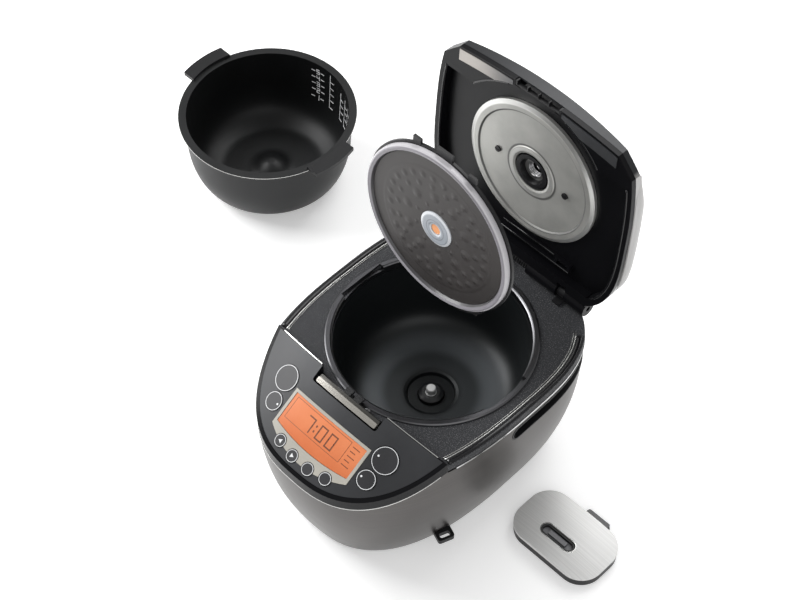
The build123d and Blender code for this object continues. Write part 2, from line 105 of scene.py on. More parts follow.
# One material and its node tree
class Paint:
    def __init__(self, name):
        self.material = bpy.data.materials.new(name)
        self.material.use_nodes = True
        self.tree = self.material.node_tree
        self.shader = self.tree.nodes["Principled BSDF"]
        self.where = Wire(self, self.make("ShaderNodeTexCoord").outputs["Object"])

    def make(self, kind, inputs=None, **settings):
        node = self.tree.nodes.new(kind)
        for key, value in settings.items():
            setattr(node, key, value)
        for key, value in (inputs or {}).items():
            self.join(node.inputs[key], value)
        return node

    def join(self, socket, value):
        if isinstance(value, Wire):
            self.tree.links.new(value.socket, socket)
        elif socket.type == "RGBA":
            socket.default_value = (*value, 1.0)
        else:
            socket.default_value = value

    def axes(self):
        node = self.make("ShaderNodeSeparateXYZ", {0: self.where})
        return [Wire(self, out) for out in node.outputs]

    def stretch(self, gains):
        node = self.make("ShaderNodeVectorMath", {0: self.where, 1: gains}, operation="MULTIPLY")
        return Wire(self, node.outputs[0])

    def noise(self, scale, detail, where=None, rough=0.55):
        inputs = {"Vector": where or self.where, "Scale": scale, "Detail": detail, "Roughness": rough}
        return Wire(self, self.make("ShaderNodeTexNoise", inputs).outputs[0])

    def cells(self, scale):
        node = self.make("ShaderNodeTexVoronoi", {"Vector": self.where, "Scale": scale})
        return Wire(self, node.outputs["Distance"])

    def blend(self, factor, one, two):
        node = self.make("ShaderNodeMix", {0: factor, 6: one, 7: two}, data_type="RGBA")
        return Wire(self, node.outputs[2])

    def mottle(self, factor, tone, low, high):
        return self.blend(factor, shade(tone, low), shade(tone, high))

    def feed(self, values):
        for name, value in values.items():
            self.join(self.shader.inputs[name], value)

    def bump(self, height, depth, strength):
        node = self.make("ShaderNodeBump", {"Height": height, "Distance": depth, "Strength": strength})
        self.feed({"Normal": Wire(self, node.outputs[0])})


def shade(tone, gain):
    return tuple(min(1.0, c * gain) for c in tone)


def far(across, along):
    return (across * across + along * along) ** 0.5


# Moulded plastic: fine grain under a cloudy sheen
mould = {
    "cloud": 14,
    "grain": 1400,
    "depth": 0.00004,
    "coatRough": 0.08,
    "dustScale": 2600,
    "dustTone": (0.5, 0.5, 0.5),
}


def moulded(name, look):
    paint = Paint(name)
    cloud = paint.noise(mould["cloud"], 4)
    grain = paint.noise(mould["grain"], 2)
    paint.feed({
        "Roughness": cloud * 0.14 + (look["rough"] - 0.07) + grain * 0.06,
        "Coat Weight": look.get("coat", 0.0),
        "Coat Roughness": mould["coatRough"],
        "Specular IOR Level": look.get("shine", 0.5),
    })
    paint.bump(grain, mould["depth"], 0.5)
    return paint, cloud


# The same in one colour, with faint dust
def plastic(name, look):
    paint, cloud = moulded(name, look)
    dust = paint.noise(mould["dustScale"], 1).rise(0.66, 0.8) * look.get("dust", 0.03)
    tone = paint.mottle(cloud.rise(0.3, 0.7), look["tone"], 0.9, 1.12)
    paint.feed({"Base Color": paint.blend(dust, tone, mould["dustTone"])})
    return paint


# Metal sheet with brushed streaks along one direction
brush = {"cloud": 9, "finer": 3.1, "depth": 0.00003}


def streaked(name, look):
    paint = Paint(name)
    finer = [gain * brush["finer"] for gain in look["streak"]]
    streak = paint.noise(1.0, 5, paint.stretch(look["streak"]), 0.6)
    fine = paint.noise(1.0, 3, paint.stretch(finer), 0.7)
    paint.feed({
        "Metallic": look.get("metal", 1.0),
        "Roughness": streak * 0.16 + (look["rough"] - 0.1) + fine * 0.05,
    })
    paint.bump(streak * 0.6 + fine * 0.4, brush["depth"], 0.4)
    return paint, streak


def brushed(name, look):
    paint, streak = streaked(name, look)
    tone = paint.mottle(streak.rise(0.25, 0.75), look["tone"], 0.88, 1.12)
    cloud = paint.noise(brush["cloud"], 3).rise(0.35, 0.75) * 0.25
    paint.feed({"Base Color": paint.blend(cloud, tone, shade(look["tone"], 0.8))})
    return paint


# Satin metal: cloudy, with light handling marks
rub = {"cloud": 18, "grain": 1800, "marks": 120, "depth": 0.00003}


def handled(name, look):
    paint = Paint(name)
    cloud = paint.noise(rub["cloud"], 4)
    marks = paint.noise(rub["marks"], 6).rise(0.62, 0.72)
    paint.feed({
        "Metallic": 1.0,
        "Roughness": cloud * 0.12 + (look["rough"] - 0.06) + marks * 0.05,
    })
    paint.bump(paint.noise(rub["grain"], 2), rub["depth"], 0.4)
    return paint, cloud, marks


def satin(name, look):
    paint, cloud, marks = handled(name, look)
    tone = paint.mottle(cloud.rise(0.3, 0.7), look["tone"], 0.9, 1.1)
    paint.feed({"Base Color": paint.blend(marks * 0.06, tone, shade(look["tone"], 1.6))})
    return paint


# Sprayed coating with fine flecks; a look gives the scale of its flecks
spray = {"cloud": 11, "finer": 1.3, "depth": 0.00003}


def coated(name, look):
    paint = Paint(name)
    cloud = paint.noise(spray["cloud"], 4)
    fleck = paint.noise(look["scale"], 2).rise(0.6, 0.72)
    paint.feed({
        "Metallic": look["metal"],
        "Roughness": cloud * 0.12 + (look["rough"] - 0.06) + fleck * 0.08,
    })
    paint.bump(paint.noise(look["scale"] * spray["finer"], 2), spray["depth"], 0.5)
    return paint, cloud, fleck


def flecked(name, look):
    paint, cloud, fleck = coated(name, look)
    tone = paint.mottle(cloud.rise(0.3, 0.7), look["tone"], 0.85, 1.2)
    paint.feed({"Base Color": paint.blend(fleck * 0.12, tone, shade(look["tone"], 3.0))})
    return paint


# Deck plastic with pale flecks, and the plain glossy band below the panel
deckLook = {
    "tone": (0.040, 0.041, 0.044),
    "fleck": (0.22, 0.22, 0.23),
    "band": (0.006, 0.006, 0.007),
    "rough": 0.5,
    "shine": 0.12,
    "grain": 1500,
    "scale": 900,
    "depth": 0.00016,
    "bandAt": (-0.1150, -0.1135),
    "bandCurve": 0.67,
}


def deckPaint():
    paint = Paint("deck_plastic")
    x, y, z = paint.axes()
    band = (y - x * x * deckLook["bandCurve"]).fall(*deckLook["bandAt"])
    grain = paint.noise(deckLook["grain"], 3)
    fleck = paint.noise(deckLook["scale"], 2).rise(0.56, 0.68)
    tone = paint.mottle(grain.rise(0.3, 0.7), deckLook["tone"], 0.5, 1.5)
    tone = paint.blend(fleck * 0.6, tone, deckLook["fleck"])
    paint.feed({
        "Base Color": paint.blend(band, tone, deckLook["band"]),
        "Roughness": (grain * 0.2 + (deckLook["rough"] - 0.1)) * (1 - band * 0.6),
        "Specular IOR Level": deckLook["shine"],
    })
    pebble = paint.cells(deckLook["scale"]) + grain * 0.6
    paint.bump(pebble * (1 - band * 0.95), deckLook["depth"], 0.6)
    return paint


# Chamber coating: painted highlight on the floor, palest round its bend and fainter across the dish; black up
# the wall and in the sensor's dip
chamberLook = {
    "tone": (0.010, 0.012, 0.013),
    # Colour of the painted highlight on the floor
    "floor": (0.100, 0.110, 0.118),
    "rough": 0.42,
    "metal": 0.35,
    "scale": 1500,
    "cloud": 14,
    "dishAt": (0.027, 0.036, 0.064, 0.090),
    "bendAt": (0.046, 0.060, 0.064, 0.086),
}


def chamberPaint():
    paint = coated("chamber_coating", chamberLook)[0]
    x, y, z = paint.axes()
    reach = far(x, y)
    # Painted highlight: a pale ring round the bend of the floor and a fainter one across the dish
    floor = reach.ridge(*chamberLook["dishAt"]) * 0.3 + reach.ridge(*chamberLook["bendAt"]) * 0.7
    wall = paint.mottle(paint.noise(chamberLook["cloud"], 4), chamberLook["tone"], 0.8, 1.2)
    paint.feed({"Base Color": paint.blend(floor, wall, chamberLook["floor"])})
    return paint


# Rim ring: painted highlights along its inner and outer top edges
ringLook = {
    "tone": (0.085, 0.085, 0.09),
    "bare": (0.34, 0.34, 0.35),
    "rough": 0.36,
    "innerAt": (0.1062, 0.1068),
    "innerTop": (0.1800, 0.1808),
    "outerAt": (0.1116, 0.1122),
    "outerTop": (0.1805, 0.1810),
}


def ringPaint():
    paint, cloud = handled("rim_metal", ringLook)[:2]
    x, y, z = paint.axes()
    reach = far(x, y)
    inner = reach.fall(*ringLook["innerAt"]) * z.rise(*ringLook["innerTop"])
    outer = reach.rise(*ringLook["outerAt"]) * z.rise(*ringLook["outerTop"])
    tone = paint.mottle(cloud, ringLook["tone"], 0.85, 1.15)
    # Painted highlight: bright along the inner top edge, half as bright along the outer one
    bare = (inner + outer * 0.5) * 0.5
    paint.feed({"Base Color": paint.blend(bare, tone, ringLook["bare"])})
    return paint


# Gasket: painted highlight at its outer lip, shaded trough. Its rings are about the inner lid's middle
innerHeight = 0.3542
gasketLook = {
    "dark": (0.20, 0.19, 0.21),
    "pale": (0.25, 0.24, 0.265),
    "trough": (0.055, 0.053, 0.056),
    "lip": (0.58, 0.57, 0.59),
    "rough": 0.36,
    "coat": 0.2,
    "troughAt": (0.0884, 0.0890),
    "lipAt": (0.0928, 0.0936),
}


def gasketPaint():
    paint, cloud = moulded("gasket", gasketLook)
    x, y, z = paint.axes()
    reach = far(x, z - innerHeight)
    tone = paint.blend(cloud, gasketLook["dark"], gasketLook["pale"])
    tone = paint.blend(reach.fall(*gasketLook["troughAt"]), tone, gasketLook["trough"])
    # Painted highlight: a pale line at the outer lip
    lip = reach.rise(*gasketLook["lipAt"]) * 0.8
    paint.feed({"Base Color": paint.blend(lip, tone, gasketLook["lip"])})
    return paint


# Valve: painted highlights at its outer lip and round its hole, grey face with a ring of painted shade at a
# step
valveLook = {
    "dark": (0.25, 0.275, 0.31),
    "pale": (0.32, 0.35, 0.39),
    # Colour of the painted shade at the step
    "step": (0.10, 0.11, 0.13),
    "lip": (0.70, 0.72, 0.75),
    "rough": 0.3,
    "coat": 0.3,
    "cloud": 60,
    "holeAt": (0.0074, 0.0080),
    "stepAt": (0.0108, 0.0113, 0.0119, 0.0124),
    "lipAt": (0.0172, 0.0180),
}


def valvePaint():
    paint = moulded("valve_white", valveLook)[0]
    x, y, z = paint.axes()
    reach = far(x, z - innerHeight)
    tone = paint.blend(paint.noise(valveLook["cloud"], 3), valveLook["dark"], valveLook["pale"])
    # Painted shade: a dark ring at the step
    tone = paint.blend(reach.ridge(*valveLook["stepAt"]) * 0.7, tone, valveLook["step"])
    # Painted highlights: the outer lip and the edge of the hole
    highlights = reach.rise(*valveLook["lipAt"]) * 0.75 + reach.fall(*valveLook["holeAt"]) * 0.6
    paint.feed({"Base Color": paint.blend(highlights, tone, valveLook["lip"])})
    return paint


# Slot in the steam cap: grey insert in a black surround
slotLook = {
    "dark": (0.15, 0.15, 0.16),
    "pale": (0.22, 0.22, 0.23),
    "around": (0.010, 0.010, 0.011),
    "rough": 0.36,
    "cloud": 70,
    "middle": (0.198, -0.007),
    "run": 0.015,
    "edgeAt": (0.0044, 0.0050),
}


def slotPaint():
    paint = moulded("cap_grey", slotLook)[0]
    x, y, z = paint.axes()
    midX, midY = slotLook["middle"]
    reach = far((abs(x - midX) - slotLook["run"]).atLeast(0.0), y - midY)
    grey = paint.blend(paint.noise(slotLook["cloud"], 3), slotLook["dark"], slotLook["pale"])
    paint.feed({"Base Color": paint.blend(reach.rise(*slotLook["edgeAt"]), grey, slotLook["around"])})
    return paint


# Vent: black outer collar, bright ring deeper in
ventLook = {
    "collar": (0.010, 0.010, 0.011),
    "dark": (0.26, 0.26, 0.26),
    "pale": (0.36, 0.36, 0.355),
    "rough": 0.3,
    "cloud": 60,
    "height": 0.3265,
    "brightAt": (0.0122, 0.0128),
}


def ventPaint():
    paint = handled("vent_steel", ventLook)[0]
    x, y, z = paint.axes()
    bright = far(x, z - ventLook["height"]).fall(*ventLook["brightAt"])
    steel = paint.blend(paint.noise(ventLook["cloud"], 3), ventLook["dark"], ventLook["pale"])
    paint.feed({"Base Color": paint.blend(bright, ventLook["collar"], steel), "Metallic": bright})
    return paint


# Lid shell: silver sides and top, dark satin along the front edge
lidLook = {
    "dark": (0.37, 0.365, 0.36),
    "pale": (0.46, 0.455, 0.45),
    "frontDark": (0.020, 0.021, 0.023),
    "frontPale": (0.032, 0.033, 0.036),
    "rough": 0.36,
    "streak": (900, 4, 4),
    "cloud": 20,
    "frontAt": (0.412, 0.416),
}


def lidPaint():
    paint = streaked("lid_grey", lidLook)[0]
    x, y, z = paint.axes()
    front = z.rise(*lidLook["frontAt"])
    streak = paint.noise(1.0, 4, paint.stretch(lidLook["streak"]))
    silver = paint.blend(streak, lidLook["dark"], lidLook["pale"])
    edge = paint.blend(paint.noise(lidLook["cloud"], 3), lidLook["frontDark"], lidLook["frontPale"])
    paint.feed({"Base Color": paint.blend(front, silver, edge), "Metallic": 1 - front * 0.7})
    return paint


# Pressed lid plate: painted highlights on the stepped rim and the raised hub ring, painted shade in the
# grooves either side of the raised rings
plateLook = {
    "dark": (0.44, 0.44, 0.42),
    "pale": (0.53, 0.53, 0.505),
    "groove": (0.10, 0.10, 0.10),
    # Colour of the painted highlight on the rim and hub ring
    "rim": (0.78, 0.78, 0.76),
    "rough": 0.5,
    "metal": 0.8,
    "cloud": 26,
    "height": 0.3266,
    "groovesAt": ((0.0305, 0.0315, 0.0325, 0.0340), (0.0712, 0.0722, 0.0732, 0.0745)),
    "hubAt": (0.0245, 0.0255, 0.0290, 0.0300),
    "rimAt": (0.0785, 0.0800),
}


def platePaint():
    paint = Paint("aluminium")
    x, y, z = paint.axes()
    reach = far(x, z - plateLook["height"])
    cloud = paint.noise(plateLook["cloud"], 4)
    inner, outer = plateLook["groovesAt"]
    groove = reach.ridge(*inner) + reach.ridge(*outer)
    # Painted highlight on the rim and, fainter, on the hub ring
    rim = reach.rise(*plateLook["rimAt"]) + reach.ridge(*plateLook["hubAt"]) * 0.7
    tone = paint.blend(cloud.rise(0.3, 0.7), plateLook["dark"], plateLook["pale"])
    tone = paint.blend(groove * 0.75, tone, plateLook["groove"])
    paint.feed({
        "Base Color": paint.blend(rim * 0.6, tone, plateLook["rim"]),
        "Metallic": plateLook["metal"],
        "Roughness": cloud * 0.1 + plateLook["rough"] - rim * 0.18,
    })
    paint.bump(paint.noise(rub["grain"], 2), rub["depth"], 0.4)
    return paint


# Control panel, in millimetres: a shallow barrel that slopes down from its crest
panel = {"crest": Vector((0, -114, 199)), "slope": math.radians(33), "barrel": 420.0}
outward = Vector((0, -math.sin(panel["slope"]), math.cos(panel["slope"])))
downhill = Vector((0, -math.cos(panel["slope"]), -math.sin(panel["slope"])))


# Metres down the slope, from the crest or from the frame's own middle
def slopeDown(paint, start):
    x, y, z = paint.axes()
    return (y - start.y / 1000) * downhill.y + (z - start.z / 1000) * downhill.z


# Opening lever: pale satin grip; painted shade on its rear step and on the tongues behind it, in the dark
# recess
leverLook = {
    "tongue": (0.010, 0.010, 0.011),
    # Colour of the painted shade on the grip's rear step
    "step": (0.10, 0.097, 0.09),
    "dark": (0.42, 0.40, 0.365),
    "pale": (0.52, 0.50, 0.46),
    "rough": 0.26,
    "streak": (2, 260, 260),
    "gripAt": (0.0088, 0.0094),
    "stepAt": (0.0122, 0.0126),
}


def leverPaint():
    paint = streaked("champagne_chrome", leverLook)[0]
    down = slopeDown(paint, panel["crest"])
    grip = down.rise(*leverLook["gripAt"])
    streak = paint.noise(1.0, 4, paint.stretch(leverLook["streak"]))
    tone = paint.blend(streak, leverLook["dark"], leverLook["pale"])
    # Painted shade: dark tongues, and a darker rear step on the grip, where the recess shades them
    tone = paint.blend(down.rise(*leverLook["stepAt"]), leverLook["step"], tone)
    paint.feed({"Base Color": paint.blend(grip, leverLook["tongue"], tone), "Metallic": grip * 0.8})
    return paint


# Sensor: bright post on a dark collar
sensorLook = {
    "collar": (0.016, 0.017, 0.018),
    "dark": (0.80, 0.80, 0.80),
    "pale": (0.90, 0.90, 0.89),
    "rough": 0.3,
    "cloud": 90,
    "postAt": (0.0058, 0.0062),
}


def sensorPaint():
    paint = handled("sensor_metal", sensorLook)[0]
    x, y, z = paint.axes()
    post = far(x, y).fall(*sensorLook["postAt"])
    metal = paint.blend(paint.noise(sensorLook["cloud"], 2), sensorLook["dark"], sensorLook["pale"])
    paint.feed({"Base Color": paint.blend(post, sensorLook["collar"], metal), "Metallic": post * 0.6})
    return paint


# Lit display: warm orange glow, darker at its lower edge
displayLook = {
    "upper": (0.62, 0.19, 0.075),
    "lower": (0.52, 0.13, 0.04),
    "haze": (0.75, 0.28, 0.12),
    "rough": 0.2,
    "coat": 0.5,
    "glow": 0.25,
    "cloud": 40,
    "grain": 900,
    "depth": 0.00001,
    "lowerAt": (0.03, 0.075),
}


def displayPaint():
    paint = Paint("display")
    down = slopeDown(paint, Vector((0, 0, 0)))
    cloud = paint.noise(displayLook["cloud"], 2)
    tone = paint.blend(down.rise(*displayLook["lowerAt"]), displayLook["upper"], displayLook["lower"])
    tone = paint.blend(cloud.rise(0.4, 0.7) * 0.12, tone, displayLook["haze"])
    paint.feed({
        "Base Color": tone,
        "Roughness": cloud * 0.06 + displayLook["rough"],
        "Coat Weight": displayLook["coat"],
        "Emission Color": tone,
        "Emission Strength": displayLook["glow"],
    })
    paint.bump(paint.noise(displayLook["grain"], 1), displayLook["depth"], 0.3)
    return paint


# Looks of one finish each, by the record's slot
plasticLooks = {
    "black_plastic": {"tone": (0.011, 0.011, 0.012), "rough": 0.36, "shine": 0.32},
    "silver_plastic": {"tone": (0.44, 0.42, 0.37), "rough": 0.34, "coat": 0.2},
    "ferrite": {"tone": (0.05, 0.05, 0.052), "rough": 0.7},
    "board": {"tone": (0.03, 0.14, 0.06), "rough": 0.4, "coat": 0.3},
    "rubber": {"tone": (0.025, 0.025, 0.025), "rough": 0.8},
    "lid_black": {"tone": (0.004, 0.004, 0.005), "rough": 0.3, "shine": 0.16, "dust": 0.01},
    "valve_orange": {"tone": (0.78, 0.33, 0.13), "rough": 0.4},
}
brushedLooks = {
    "steel_shell": {"tone": (0.106, 0.100, 0.096), "rough": 0.34, "streak": (3, 3, 900), "metal": 0.9},
    "copper": {"tone": (0.72, 0.34, 0.18), "rough": 0.3, "streak": (700, 700, 40)},
    "cap_steel": {"tone": (0.70, 0.70, 0.69), "rough": 0.42, "streak": (6, 900, 6), "metal": 0.3},
}
satinLooks = {
    "chrome": {"tone": (0.80, 0.80, 0.80), "rough": 0.14},
    "spring_steel": {"tone": (0.50, 0.50, 0.51), "rough": 0.28},
    "heater_tape": {"tone": (0.66, 0.66, 0.66), "rough": 0.35},
}
fleckedLooks = {
    "panel_film": {"tone": (0.030, 0.031, 0.034), "rough": 0.40, "metal": 0.15, "scale": 2200},
    "button_plastic": {"tone": (0.028, 0.028, 0.031), "rough": 0.4, "metal": 0.0, "scale": 2400},
    "inner_disc": {"tone": (0.027, 0.0235, 0.0225), "rough": 0.44, "metal": 0.2, "scale": 1700},
    "pot_coating": {"tone": (0.008, 0.0085, 0.009), "rough": 0.46, "metal": 0.35, "scale": 1900},
}
paints = {
    "deck_plastic": deckPaint(),
    "chamber_coating": chamberPaint(),
    "rim_metal": ringPaint(),
    "gasket": gasketPaint(),
    "valve_white": valvePaint(),
    "cap_grey": slotPaint(),
    "vent_steel": ventPaint(),
    "lid_grey": lidPaint(),
    "aluminium": platePaint(),
    "champagne_chrome": leverPaint(),
    "sensor_metal": sensorPaint(),
    "display": displayPaint(),
}
finishes = ((plastic, plasticLooks), (brushed, brushedLooks), (satin, satinLooks), (flecked, fleckedLooks))
for finish, looks in finishes:
    for slot, look in looks.items():
        paints[slot] = finish(slot, look)

nodePaint = {
    "blackened": ("hinge_pin", "lid_spring", "hinge_brackets", "plate_screws"),
    "crease": math.radians(26),
}
for entry in frame["record"]["subparts"]:
    mesh = nodes[entry["node"]].data
    slot = "black_plastic" if entry["node"] in nodePaint["blackened"] else entry["material_slot"]
    mesh.materials.clear()
    mesh.materials.append(paints[slot].material)
    if "custom_normal" in mesh.attributes:
        mesh.attributes.remove(mesh.attributes["custom_normal"])
    mesh.shade_smooth()
    mesh.set_sharp_from_angle(angle=nodePaint["crease"])
print("stage: CAD nodes painted")

# Bars of a seven-bar digit, clockwise from the top, then the middle one
digitBars = {0: "abcdef", 1: "bc", 2: "abged", 3: "abgcd", 4: "fgbc", 5: "afgcd", 7: "abc"}


# Print, trim and mouldings: closed forms drawn in millimetres on a surface, from a low to a high level
class Trim:
    def __init__(self, place=None, low=0.0, high=0.0):
        self.points = []
        self.faces = []
        self.on(place, low, high)

    def on(self, place, low, high):
        self.place, self.low, self.high = place, low, high

    def prism(self, outline):
        count = len(outline)
        start = len(self.points)
        for h in (self.low, self.high):
            self.points += [self.place(a, b, h) for a, b in outline]
        self.faces.append([start + k for k in reversed(range(count))])
        self.faces.append([start + count + k for k in range(count)])
        for k in range(count):
            m = (k + 1) % count
            self.faces.append([start + k, start + m, start + count + m, start + count + k])

    # Flat strip between two lines
    def band(self, inner, outer, closed=True):
        count = len(inner)
        start = len(self.points)
        low, high = self.low, self.high
        for line, h in ((inner, low), (outer, low), (outer, high), (inner, high)):
            self.points += [self.place(a, b, h) for a, b in line]
        for k in range(count if closed else count - 1):
            m = (k + 1) % count
            for row in range(4):
                here = start + row * count
                there = start + (row + 1) % 4 * count
                self.faces.append([here + k, here + m, there + m, there + k])
        if not closed:
            self.faces.append([start + row * count for row in (3, 2, 1, 0)])
            self.faces.append([start + row * count + count - 1 for row in range(4)])

    def stroke(self, a, b, width):
        a, b = Vector(a), Vector(b)
        along = (b - a).normalized() * width / 2
        side = Vector((-along.y, along.x))
        corners = (a - along - side, b + along - side, b + along + side, a - along + side)
        self.prism([(c.x, c.y) for c in corners])

    # Rounded bead along a line, with low upright shoulders
    def roll(self, line, width, steps=8, shoulder=0.25):
        start = len(self.points)
        rows = steps + 3
        last = len(line) - 1
        for k, (u, v) in enumerate(line):
            ahead = Vector(line[min(k + 1, last)]) - Vector(line[max(k - 1, 0)])
            side = Vector((-ahead.y, ahead.x)).normalized() * width / 2
            self.points.append(self.place(u - side.x, v - side.y, self.low))
            for n in range(steps + 1):
                a = math.pi * n / steps
                b = -math.cos(a)
                h = self.low + (self.high - self.low) * (shoulder + (1 - shoulder) * math.sin(a))
                self.points.append(self.place(u + side.x * b, v + side.y * b, h))
            self.points.append(self.place(u + side.x, v + side.y, self.low))
        for k in range(last):
            here, there = start + k * rows, start + (k + 1) * rows
            for n in range(rows):
                m = (n + 1) % rows
                self.faces.append([here + n, here + m, there + m, there + n])
        self.faces.append([start + n for n in reversed(range(rows))])
        self.faces.append([start + last * rows + n for n in range(rows)])

    def digit(self, value, x, y, size, width):
        left, right = x - size[0] / 2, x + size[0] / 2
        top, foot = y - size[1] / 2, y + size[1] / 2
        bars = {
            "a": ((left, top), (right, top)),
            "b": ((right, top), (right, y)),
            "c": ((right, y), (right, foot)),
            "d": ((left, foot), (right, foot)),
            "e": ((left, y), (left, foot)),
            "f": ((left, top), (left, y)),
            "g": ((left, y), (right, y)),
        }
        for key in digitBars[value]:
            self.stroke(*bars[key], width)

    def done(self, name, body, paint):
        mesh = bpy.data.meshes.new(name)
        mesh.from_pydata([tuple(p) for p in self.points], [], self.faces)
        shape = bmesh.new()
        shape.from_mesh(mesh)
        bmesh.ops.recalc_face_normals(shape, faces=shape.faces)
        shape.to_mesh(mesh)
        shape.free()
        mesh.materials.append(paint.material)
        made = bpy.data.objects.new(name, mesh)
        scene.collection.objects.link(made)
        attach(made, body)
        return made


def circle(r, count=64):
    turns = [2 * math.pi * k / count for k in range(count)]
    return [(r * math.cos(a), r * math.sin(a)) for a in turns]


def spread(start, end, count):
    return [start + (end - start) * k / count for k in range(count + 1)]


def straight(x, y, z):
    return Vector((x, y, z)) / 1000


def panelSpot(x, down, h):
    a = math.asin(x / panel["barrel"])
    sink = panel["barrel"] * (1 - math.cos(a))
    normal = Vector((math.sin(a), 0, 0)) + outward * math.cos(a)
    return (panel["crest"] + downhill * down + Vector((x, 0, 0)) - outward * sink + normal * h) / 1000


# Flat top of one button, measured from its middle
def capSpot(x, down):
    a = math.asin(x / panel["barrel"])
    across = Vector((math.cos(a), 0, 0)) - outward * math.sin(a)
    normal = Vector((math.sin(a), 0, 0)) + outward * math.cos(a)
    middle = panelSpot(x, down, 0)
    return lambda u, v, h: middle + (across * u + downhill * v + normal * h) / 1000


# The lid is measured shut and turned open about its hinge
lidPose = {
    "hinge": Vector((0, 136, 191)),
    "turn": Matrix.Rotation(math.radians(-93), 4, "X"),
    "innerOff": (20, 132),
}


def lidSpot(x, y, z):
    return (lidPose["hinge"] + lidPose["turn"] @ (Vector((x, y, z)) - lidPose["hinge"])) / 1000


# The inner lid is parallel to it, in its lifted-out place
def innerSpot(x, y, z):
    return lidSpot(x, y - lidPose["innerOff"][0], z - lidPose["innerOff"][1])


whiteInk = plastic("white_ink", {"tone": (0.82, 0.83, 0.84), "rough": 0.45})
darkInk = plastic("dark_ink", {"tone": (0.17, 0.055, 0.022), "rough": 0.4})
silverInk = satin("silver_ink", {"tone": (0.72, 0.72, 0.70), "rough": 0.25})

# Button rings, pointers and dots
buttonInk = {
    "low": 0.68,
    "high": 0.78,
    "ring": (1.1, 0.5),
    "dot": 1.1,
    "dotSides": 24,
    "tip": 2.4,
    "tail": 1.8,
    "half": 2.5,
}
buttons = {
    "start": {"x": 72, "down": 36, "r": 14.6, "dot": (-8.5, 0)},
    "cancel": {"x": -72, "down": 36, "r": 14.6},
    "timer": {"x": 68, "down": 63, "r": 10.6, "dot": (-6.2, 0)},
    "warm": {"x": -68, "down": 63, "r": 10.6, "dot": (6.2, 0)},
    "left": {"x": -33, "down": 89, "r": 7.2, "point": -1},
    "right": {"x": -11.4, "down": 93, "r": 7.2, "point": 1},
    "hour": {"x": 11.4, "down": 93, "r": 7.2},
    "minute": {"x": 33, "down": 89, "r": 7.2},
}
for name, look in buttons.items():
    trim = Trim(capSpot(look["x"], look["down"]), buttonInk["low"], buttonInk["high"])
    inner, outer = [circle(look["r"] - inset) for inset in buttonInk["ring"]]
    trim.band(inner, outer)
    if "dot" in look:
        u, v = look["dot"]
        trim.prism([(u + a, v + b) for a, b in circle(buttonInk["dot"], buttonInk["dotSides"])])
    if "point" in look:
        tip, tail, half = [look["point"] * buttonInk[key] for key in ("tip", "tail", "half")]
        trim.prism([(tip, 0), (-tail, half), (-tail, -half)])
    trim.done("ring_" + name, "button_" + name, whiteInk)

# Display: a thin frame line, a clock time and plain dashes
screen = {
    "low": -0.22,
    "high": -0.12,
    "frame": [(-46.5, 42.6), (33, 42.6), (33, 67.5), (-46.5, 67.5)],
    "frameLine": 0.45,
    "pieces": 12,
    "clock": ((7, -17.5), (0, 0.5), (0, 14.5)),
    "clockDown": 56.5,
    "clockSize": (8.2, 15.0),
    "clockLine": 1.5,
    "colon": ((-8.6, 53.5), (-8.6, 59.5)),
    "colonHalf": 0.4,
    "colonLine": 1.7,
    "dashes": 5,
    "dashFrom": (37, 45.5),
    "dashTo": (45.5, 43.0),
    "dashStep": 5.2,
    "dashLine": 0.9,
}
trim = Trim(panelSpot, screen["low"], screen["high"])
for k, start in enumerate(screen["frame"]):
    end = screen["frame"][(k + 1) % len(screen["frame"])]
    path = list(zip(*[spread(a, b, screen["pieces"]) for a, b in zip(start, end)]))
    for a, b in zip(path, path[1:]):
        trim.stroke(a, b, screen["frameLine"])
for value, x in screen["clock"]:
    trim.digit(value, x, screen["clockDown"], screen["clockSize"], screen["clockLine"])
for x, down in screen["colon"]:
    trim.stroke((x, down - screen["colonHalf"]), (x, down + screen["colonHalf"]), screen["colonLine"])
for k in range(screen["dashes"]):
    down = screen["dashFrom"][1] + screen["dashStep"] * k
    trim.stroke((screen["dashFrom"][0], down), (screen["dashTo"][k % 2], down), screen["dashLine"])
trim.done("screen_marks", "base", darkInk)

# Bright line along the curved back edge of the panel, either side of the lever
edgeLine = {
    "low": -0.02,
    "high": 0.12,
    "gap": 47.5,
    "reach": 112,
    "steps": 24,
    "inset": 0.35,
    "wide": 0.9,
    "arcY": 633,
    "arc": 747,
}
trim = Trim(panelSpot, edgeLine["low"], edgeLine["high"])
for side in (-1, 1):
    line = []
    for reach in spread(edgeLine["gap"], edgeLine["reach"], edgeLine["steps"]):
        sink = panel["barrel"] - math.sqrt(panel["barrel"] ** 2 - reach**2)
        edgeY = edgeLine["arcY"] - math.sqrt(edgeLine["arc"] ** 2 - reach**2)
        down = (panel["crest"].y - outward.y * sink - edgeY) / -downhill.y
        line.append((side * reach, down + edgeLine["inset"]))
    trim.band(line, [(x, down + edgeLine["wide"]) for x, down in line], False)
trim.done("edge_line", "base", silverInk)

